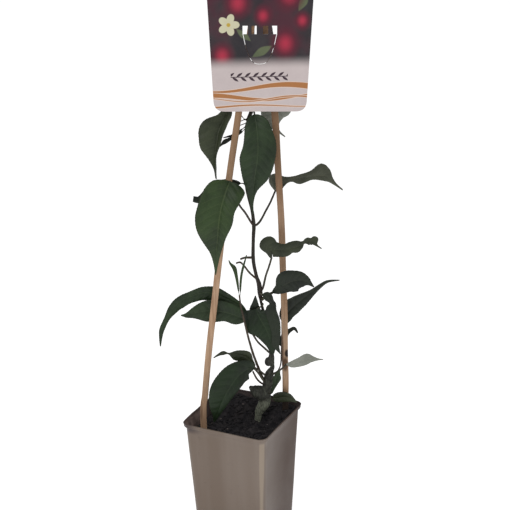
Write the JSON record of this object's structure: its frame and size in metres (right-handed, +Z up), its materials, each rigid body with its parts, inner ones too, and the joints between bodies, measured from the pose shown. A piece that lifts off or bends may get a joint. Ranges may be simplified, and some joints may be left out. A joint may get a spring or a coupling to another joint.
{
  "type": "potted hardy kiwi vine",
  "caption": "Young hardy kiwi vine tied up two crossed canes in a tall square nursery pot of compost, with a care label strapped to the canes' top.",
  "frame": {"origin": "centre of the pot's base, on the surface that it stands on", "axes": "+Z up the plant; +X and +Y across the pot's square sides, with the label facing between -Y and +X"},
  "size_m": [0.1866, 0.1319, 0.742],
  "materials": {
    "pot_plastic": "moulded grey-brown plastic, faintly scuffed",
    "compost": "rough, crumbly and moist",
    "cane_wood": "dry sawn wood with fine grain",
    "strap_plastic": "soft green plastic",
    "label_plastic": "printed plastic card, satin",
    "bark": "grey-green bark, rough at the base",
    "green_shoot": "red-brown young skin",
    "leaf": "deep green, satin, veined"
  },
  "bodies": {
    "root": {"pot": "pot_plastic", "soil": "compost", "cane_left": "cane_wood", "cane_right": "cane_wood", "cane_strap": "strap_plastic", "care_label": "label_plastic", "main_stem": "bark", "side_shoot": "green_shoot", "bare_stalk_upper": "green_shoot", "bare_stalk_middle": "green_shoot", "bare_stalk_base": "green_shoot", "leaf_top_left": "leaf", "leaf_top_centre": "leaf", "leaf_big_left": "leaf", "leaf_behind_left": "leaf", "leaf_right_wavy": "leaf", "leaf_right_curled": "leaf", "leaf_right_dark": "leaf", "leaf_right_long": "leaf", "leaf_small_curl": "leaf", "leaf_pale_right": "leaf", "leaf_left_arching": "leaf", "leaf_left_spreading": "leaf", "leaf_centre": "leaf", "leaf_centre_upright": "leaf", "leaf_node_small": "leaf", "leaf_low_left_small": "leaf", "leaf_low_left_big": "leaf", "leaf_over_rim": "leaf", "leaf_narrow": "leaf", "leaf_behind_label": "leaf", "leaf_small_top": "leaf", "leaf_small_top_upper": "leaf", "young_leaf_left": "leaf", "young_leaf_right": "leaf"}
  },
  "joints": []
}
